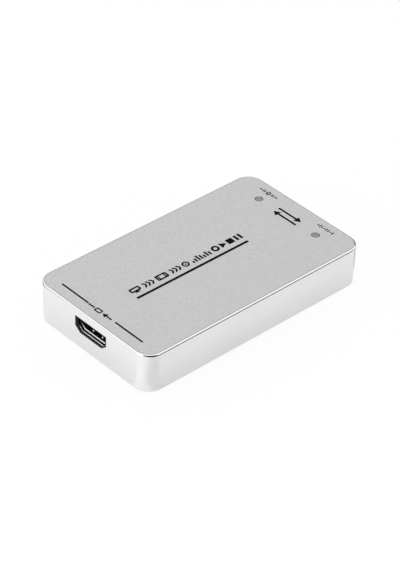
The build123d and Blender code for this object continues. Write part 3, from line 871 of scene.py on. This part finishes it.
def add_leg(shell, port, x, side):
    """A leg that goes down through the board, as thick as the sheet but for a hair."""
    y, half = side * (port["width"] + SHEET) / 2, SHEET / 2 - HAIR
    low = (x - LEG_HALF_WIDTH, y - half, LEG_BOTTOM)
    high = (x + LEG_HALF_WIDTH, y + half, port["axis"])
    fuse(shell, block("leg", low, high))


def make_socket(node, port, face, rear, fingers, legs, material):
    """A folded sheet shell with spring fingers in its floor and ceiling, and its legs."""
    inward = 1 if rear > face else -1
    shell = folded_shell(port, face, rear, inward)
    aside = fingers["aside"]
    for y in (-aside - SPLIT_ASIDE, SPLIT_MIDDLE, aside + SPLIT_ASIDE):
        split(shell, (0, y, 0), (0, 1, 0))
    root, tip = face + inward * fingers["start"], face + inward * fingers["end"]
    for y in (-aside, aside):
        for level in (-1, 1):
            add_finger(shell, port, y, level, root, tip, inward, fingers)
    for spot in legs:
        for side in (-1, 1):
            add_leg(shell, port, face + inward * spot, side)
    shell.name = node + "_sheet"
    smooth(shell, angle=40)
    give(shell, material)
    return settle(shell, "socket_metal", node)


def make_sockets(material):
    video_face, video_rear = VIDEO_SHELL[LOW][X], VIDEO_SHELL[HIGH][X]
    data_rear, data_face = DATA_SHELL[LOW][X], DATA_SHELL[HIGH][X]
    video = (VIDEO, video_face, video_rear, VIDEO_FINGERS, VIDEO_LEGS)
    data = (DATA, data_face, data_rear, DATA_FINGERS, DATA_LEGS)
    make_socket("video_socket_shell", *video, material)
    make_socket("data_socket_shell", *data, material)


# Marks of the printing. Each is drawn in a row along +X, as wide as it prints and 1 mm high.

def bar(u, v, length, thick, turn=0.0):
    piece = block("bar", (-length / 2, -thick / 2, 0), (length / 2, thick / 2, 1))
    piece.rotation_euler = (0, 0, turn)
    piece.location = (u, v, 0)
    return fix_place(piece)


def upright_bar(u, v, height, thick):
    return bar(u, v, height, thick, QUARTER_TURN)


def disc(u, v, radius):
    return rod("disc", u, v, 0, 1, radius, SMALL_ROUND)


def ring(u, v, outer, inner):
    piece = disc(u, v, outer)
    cut(piece, rod("hole", u, v, -OVERRUN, 1 + OVERRUN, inner, SMALL_ROUND))
    return piece


def frame_box(u, v, length, height, stroke):
    """An upright outline whose lower left corner is at u, v."""
    piece = block("outline", (u, v, 0), (u + length, v + height, 1))
    round_edges(piece, upright, stroke * 0.9, segments=4)
    inside = (u + length - stroke, v + height - stroke, 1 + OVERRUN)
    cut(piece, block("inside", (u + stroke, v + stroke, -OVERRUN), inside))
    return piece


def chevron(u, v, length, height, stroke):
    """An angle that points along the row, its tip at the right."""
    piece = block("chevron", (u, v, 0), (u + stroke, v + height, 1))
    split(piece, (u, v + height / 2, 0), (0, 1, 0))
    pick(piece, "VERT", lambda co: abs(co.y - v - height / 2) < SAME)
    bpy.ops.transform.translate(value=(length - stroke, 0, 0))
    leave()
    return piece


def triangle(u, v, length, height):
    """A solid triangle that points along the row, its lower left corner at u, v."""
    deselect()
    bpy.ops.mesh.primitive_cylinder_add(vertices=3, radius=1, depth=1, location=(0, 0, 0.5))
    piece = bpy.context.object
    piece.name = "triangle"
    fix_place(piece)
    low = Vector([min(vertex.co[i] for vertex in piece.data.vertices) for i in (X, Y, Z)])
    high = Vector([max(vertex.co[i] for vertex in piece.data.vertices) for i in (X, Y, Z)])
    piece.location = -low
    fix_place(piece)
    piece.rotation_euler = (0, 0, -QUARTER_TURN)
    piece.location = (0, height, 0)
    piece.scale = (height / (high.x - low.x), length / (high.y - low.y), 1)
    fix_place(piece)
    piece.location = (u, v, 0)
    return fix_place(piece)


def arrow(u, v, length, stroke, head, back=False):
    """A straight arrow that starts at u and runs along the row, or against it."""
    way = -1 if back else 1
    shaft = bar(u + way * (length - head) / 2, v, length - head, stroke)
    head_width = head * 1.2
    tip = triangle(0, -head_width / 2, head, head_width)
    if back:
        tip.rotation_euler = (0, 0, math.pi)
    tip.location = (u + way * (length - head), v, 0)
    fix_place(tip)
    return [shaft, tip]


def screen(u, height, stroke):
    """A screen, half as wide again as it is high, on its stand."""
    length, stand = height * 1.5, height * 0.22
    foot = bar(u + length / 2, stroke * 0.4, length * 0.45, stroke * 0.8)
    neck = bar(u + length / 2, height * 0.15, stroke * 1.2, stand)
    return [frame_box(u, stand, length, height - stand, stroke), foot, neck]


def film(u, length, height, stroke):
    """A frame of film, with a bar near each end."""
    marks = [frame_box(u, 0, length, height, stroke)]
    for share in (0.24, 0.76):
        marks.append(bar(u + length * share, height / 2, stroke * 0.8, height - stroke))
    return marks


def chevrons(u):
    return [chevron(u + 1.6 * i, v=0.15, length=1.75, height=2.7, stroke=0.85) for i in range(3)]


def level_bars(u, pitch, stroke, heights):
    return [upright_bar(u + i * pitch, h / 2, h, stroke) for i, h in enumerate(heights)]


# The printing itself

ROW_HEIGHT, ROW_Y = 3.0, 0.66


def media_row():
    """From a screen to a film to a reel, with a level meter after them."""
    middle, reel = ROW_HEIGHT / 2, 25.0
    marks = screen(u=0, height=ROW_HEIGHT, stroke=0.74) + chevrons(u=5.6)
    marks += film(u=11.6, length=5.0, height=ROW_HEIGHT, stroke=0.72) + chevrons(u=17.8)
    marks += [ring(reel, middle, outer=1.5, inner=0.8), disc(reel, middle, radius=0.36)]
    heights = (1.2, 2.0, 3.0, 2.4, 1.6, 2.7, 2.0)
    return marks + level_bars(u=28.0, pitch=1.3, stroke=0.8, heights=heights)


def heavy_row():
    """Record, play, stop and pause."""
    middle = 1.6
    record = ring(1.6, middle, outer=1.6, inner=0.72)
    play = triangle(4.0, v=0.1, length=2.7, height=ROW_HEIGHT)
    stop = bar(8.6, middle, length=2.8, thick=2.8)
    return [record, play, stop] + [bar(u, middle, length=1.05, thick=2.9) for u in (11.4, 13.2)]


def input_mark():
    """An arrow into a frame, with three dots behind it."""
    marks = arrow(u=-5.2, v=0, length=4.6, stroke=0.62, head=1.9)
    marks += [frame_box(u=0.0, v=-1.0, length=3.1, height=2.0, stroke=0.55)]
    return marks + [disc(u, 0, radius=0.46) for u in (4.1, 5.1, 6.1)]


def power_mark():
    """A broken ring between short bars."""
    stroke = 0.45
    marks = [ring(0, 0, outer=0.95, inner=0.5), upright_bar(0, 0.6, height=1.0, thick=stroke)]
    for side in (-1, 1):
        marks += [upright_bar(side * u, 0, height=1.3, thick=stroke) for u in (1.75, 2.6)]
        marks += [bar(side * 3.9, 0, length=1.2, thick=stroke)]
    return marks


def activity_mark():
    """A row of uneven pulses, 1 mm apart."""
    heights = (1.5, 0.7, 1.3, 1.5, 0.6, 1.1, 1.5, 0.8)
    return [upright_bar(i - 3.5, 0, h, thick=0.5) for i, h in enumerate(heights)]


def transfer_mark():
    """Two arrows that run past each other."""
    there = arrow(u=-5.6, v=1.3, length=11.3, stroke=0.85, head=2.5)
    return there + arrow(u=5.7, v=-1.3, length=11.3, stroke=0.85, head=2.5, back=True)


def press(name, marks, x, y, material, turned=False):
    """Joins the marks of one print and lays them on the roof, as thin as ink."""
    mark = join(name, marks)
    mark.scale = (1, 1, INK_RISE * 2)
    if turned:
        mark.rotation_euler = (0, 0, QUARTER_TURN)
    mark.location = (x, y, CASE_TOP - INK_RISE * 2)
    fix_place(mark)
    give(mark, material)
    return settle(mark, None)


def make_printing(ink):
    port_lines = [bar(side * 13.85, 0, length=13.9, thick=0.7) for side in (-1, 1)]
    press("port_lines", port_lines, x=-44.9, y=0, material=ink, turned=True)
    press("long_line", [bar(0, 0, length=51.05, thick=1.06)], x=-5.18, y=-1.72, material=ink)
    press("media_row", media_row(), x=-30.4, y=ROW_Y, material=ink)
    press("media_row_heavy", heavy_row(), x=6.9, y=ROW_Y, material=ink)
    press("input_mark", input_mark(), x=-45.0, y=0, material=ink, turned=True)
    press("power_mark", power_mark(), x=45.8, y=14.7, material=ink, turned=True)
    press("activity_mark", activity_mark(), x=46.0, y=-14.15, material=ink, turned=True)
    press("transfer_mark", transfer_mark(), x=41.0, y=0, material=ink, turned=True)


# Solids that keep their shape

def finish_solids(steel):
    black, chip = moulded("black_insulator", 26), moulded("chip_plastic", 40)
    gilt, foam, body, can = gilt_contact(), soft_foam(), lamp_body(), can_metal()
    core, small = moulded("coil_core", 70), ceramic()
    finishes = {
        "base_plate": brushed_plate(),
        "board_screws": steel,
        "main_board": solder_mask(),
        "insulating_film": clear_film(),
        "video_socket_insulator": black,
        "video_socket_contacts": gilt,
        "data_socket_insulator": blue_plastic(),
        "data_socket_contacts": gilt,
        "video_ground_foam": foam,
        "data_ground_foam": foam,
        "power_lamp": body,
        "activity_lamp": body,
        "receiver_chip": chip,
        "processor_chip": chip,
        "controller_chip": chip,
        "memory_chips": chip,
        "flash_chip": chip,
        "setup_memory_chip": chip,
        "cooler_pad": soft_pad(),
        "cooler": cooler_metal(),
        "video_crystal": can,
        "data_crystal": can,
        "coils": core,
        "can_capacitors": can,
        "regulators": chip,
        "supply_fuse": small,
        "line_filters": core,
        "surge_guards": chip,
        "capacitors": small,
        "resistors": chip,
    }
    for node, material in finishes.items():
        give(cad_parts[node], material)


# Floor, light and camera, in metres

FLOOR_SIZE, FLOOR_WHITE = 8, 0.9
MAT_RISE = 0.0002
SOFTBOX_PLACE, SOFTBOX_AIM = Vector((-0.5, 0.02, 0.16)), Vector((0, 0, 0.01))
SOFTBOX_WIDTH, SOFTBOX_HEIGHT, SOFTBOX_WATTS = 0.3, 0.22, 0.3
CAMERA_AZIMUTH, CAMERA_ELEVATION, CAMERA_ROLL = -0.7562, 0.6469, 0.0338
CAMERA_AIM, CAMERA_LENS = Vector((0, 0, 0.0008)), 146.1
CAMERA_BACK, CAMERA_SIDE, CAMERA_RISE = 0.80541, -0.0001016, 0.0040721


def white_where_seen(material, strength):
    """Mixes plain white into what the camera, gloss and clear pieces see of the shaded floor."""
    nodes, links = material.node_tree.nodes, material.node_tree.links
    path = nodes.new("ShaderNodeLightPath")
    seen = path.outputs["Is Camera Ray"]
    for other in ("Is Glossy Ray", "Is Transmission Ray"):
        most = nodes.new("ShaderNodeMath")
        most.operation = "MAXIMUM"
        links.new(seen, most.inputs[0])
        links.new(path.outputs[other], most.inputs[1])
        seen = most.outputs[0]
    share = nodes.new("ShaderNodeMath")
    share.operation = "MULTIPLY"
    share.inputs[1].default_value = strength
    links.new(seen, share.inputs[0])
    white = nodes.new("ShaderNodeEmission")
    white.inputs["Color"].default_value = (1, 1, 1, 1)
    white.inputs["Strength"].default_value = 1.0
    mix = nodes.new("ShaderNodeMixShader")
    links.new(share.outputs[0], mix.inputs[0])
    links.new(nodes["Principled BSDF"].outputs[0], mix.inputs[1])
    links.new(white.outputs[0], mix.inputs[2])
    links.new(mix.outputs[0], nodes["Material Output"].inputs["Surface"])


def make_floor():
    deselect()
    bpy.ops.mesh.primitive_plane_add(size=FLOOR_SIZE)
    floor = bpy.context.object
    floor.name = "floor"
    f = Finish("floor_paper", grey(252), roughness=0.9, specular=0.0)
    f.mottle(f.noise(3), grey(251), grey(253))
    white_where_seen(f.material, FLOOR_WHITE)
    give(floor, f.material)
    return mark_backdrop(floor)


def reflect_only(card, shade, glow=0.0):
    """A studio card that shows only in what the metal reflects."""
    card.visible_camera = False
    card.visible_diffuse = False
    card.visible_transmission = False
    card.visible_shadow = False
    paper = Finish(card.name + "_paper", grey(shade), roughness=0.9, specular=0.0)
    paper.mottle(paper.noise(3), grey(shade - 2), grey(shade + 2))
    paper.shader.inputs["Emission Color"].default_value = (1, 1, 1, 1)
    paper.shader.inputs["Emission Strength"].default_value = glow
    give(card, paper.material)
    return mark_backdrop(card)


def plain_card(name, start_turn, size, turn, place):
    deselect()
    bpy.ops.mesh.primitive_plane_add(size=1, rotation=start_turn)
    card = fix_place(bpy.context.object)
    card.name = name
    card.scale = size
    card.rotation_euler = (0, 0, math.radians(turn))
    card.location = place
    return fix_place(card)


def make_mat(name, shade, middle, size, turn=0.0, on_point=False, glow=0.0):
    """A card that lies on the floor, square or on one of its corners."""
    start_turn = (0, 0, math.pi / 4 if on_point else 0)
    mat = plain_card(name, start_turn, (*size, 1), turn, (*middle, MAT_RISE))
    return reflect_only(mat, shade, glow)


def make_card(name, shade, middle, size, turn=0.0):
    """A card that stands on the floor."""
    width, height = size
    place = (*middle, height / 2)
    card = plain_card(name, (QUARTER_TURN, 0, 0), (width, 1, height), turn, place)
    return reflect_only(card, shade)


def make_cards():
    make_mat("front_mat", shade=20, middle=(-0.30, -0.372), size=(0.566, 0.41), turn=234, on_point=True)
    make_mat("side_mat", shade=45, middle=(0.4345, -0.552), size=(1.0, 1.0))
    # Painted shadow: grey mats at the foot of the long side, the front corner and the short end stand
    # in for the box's shadow on the floor, which the walls reflect.
    make_mat("foot_shadow_mat", shade=240, middle=(0.003, -0.0335), size=(0.106, 0.009))
    make_mat("corner_shadow_mat", shade=208, middle=(-0.049, -0.0385), size=(0.018, 0.015))
    make_mat("end_shadow_mat", shade=243, middle=(-0.0543, 0.0125), size=(0.008, 0.065))
    # Painted light: a small glowing white mat beside the short end stands in for a pool of light on the
    # floor, which gives the front corner of the walls its highlight.
    bright = dict(turn=174.8, on_point=True, glow=0.12)
    make_mat("light_pool_mat", shade=255, middle=(-0.076, -0.0221), size=(0.0424, 0.0156), **bright)
    # Painted shadow: a grey mat behind the far end stands in for the box's shadow there, which the
    # polished edge reflects.
    make_mat("behind_shadow_mat", shade=155, middle=(0.084, 0.008), size=(0.056, 0.074))
    make_mat("back_mat", shade=60, middle=(0.0, 0.552), size=(1.6, 1.0))
    make_mat("right_mat", shade=90, middle=(0.662, 0.0), size=(1.0, 0.104))
    make_mat("left_mat", shade=150, middle=(-0.62, 0.24), size=(1.0, 0.56))
    make_card("right_card", shade=50, middle=(0.42, 0.08), size=(0.17, 0.2), turn=101)
    make_card("front_card", shade=12, middle=(-0.30, -0.345), size=(0.738, 0.42), turn=-35.6)
    make_card("side_card", shade=45, middle=(0.45, -0.6), size=(1.1, 0.14))


def make_lights():
    """Plain white all round, and one weak softbox beside the box."""
    world = bpy.data.worlds.new("studio")
    bpy.context.scene.world = world
    world.use_nodes = True
    background = world.node_tree.nodes["Background"]
    background.inputs["Color"].default_value = (1, 1, 1, 1)
    background.inputs["Strength"].default_value = 1.0
    deselect()
    bpy.ops.object.light_add(type="AREA", location=SOFTBOX_PLACE)
    lamp = bpy.context.object
    lamp.name = "side_softbox"
    lamp.data.shape = "RECTANGLE"
    lamp.data.size, lamp.data.size_y = SOFTBOX_WIDTH, SOFTBOX_HEIGHT
    lamp.data.energy = SOFTBOX_WATTS
    lamp.rotation_euler = (SOFTBOX_AIM - SOFTBOX_PLACE).to_track_quat("-Z", "Y").to_euler()


def make_camera():
    back = Vector((
        math.sin(CAMERA_AZIMUTH) * math.cos(CAMERA_ELEVATION),
        -math.cos(CAMERA_AZIMUTH) * math.cos(CAMERA_ELEVATION),
        math.sin(CAMERA_ELEVATION),
    ))
    right = (-back).cross(Vector((0, 0, 1))).normalized()
    up = right.cross(-back)
    side = right * math.cos(CAMERA_ROLL) + up * math.sin(CAMERA_ROLL)
    rise = up * math.cos(CAMERA_ROLL) - right * math.sin(CAMERA_ROLL)
    place = back * CAMERA_BACK + side * CAMERA_SIDE + rise * CAMERA_RISE + CAMERA_AIM
    data = bpy.data.cameras.new("camera")
    data.lens = CAMERA_LENS
    data.clip_start = 0.05
    data.clip_end = 20
    camera = bpy.data.objects.new("camera", data)
    bpy.context.scene.collection.objects.link(camera)
    camera.matrix_world = Matrix((
        (side.x, rise.x, back.x, place.x),
        (side.y, rise.y, back.y, place.y),
        (side.z, rise.z, back.z, place.z),
        (0, 0, 0, 1),
    ))
    bpy.context.scene.camera = camera


# The whole box

make_casing()
make_liners(liner_plastic())
screw_metal = screw_steel()
make_base_screws(screw_metal)
make_feet(foot_rubber())
lens_plastic = lamp_lens()
make_lens("power_lens", "power_light_pipe", LIGHT_Y, lens_plastic)
make_lens("activity_lens", "activity_light_pipe", -LIGHT_Y, lens_plastic)
make_sockets(socket_tin())
make_printing(printing_ink())
finish_solids(screw_metal)

make_floor()
make_cards()
make_lights()
make_camera()
bpy.context.scene.view_settings.view_transform = "Standard"
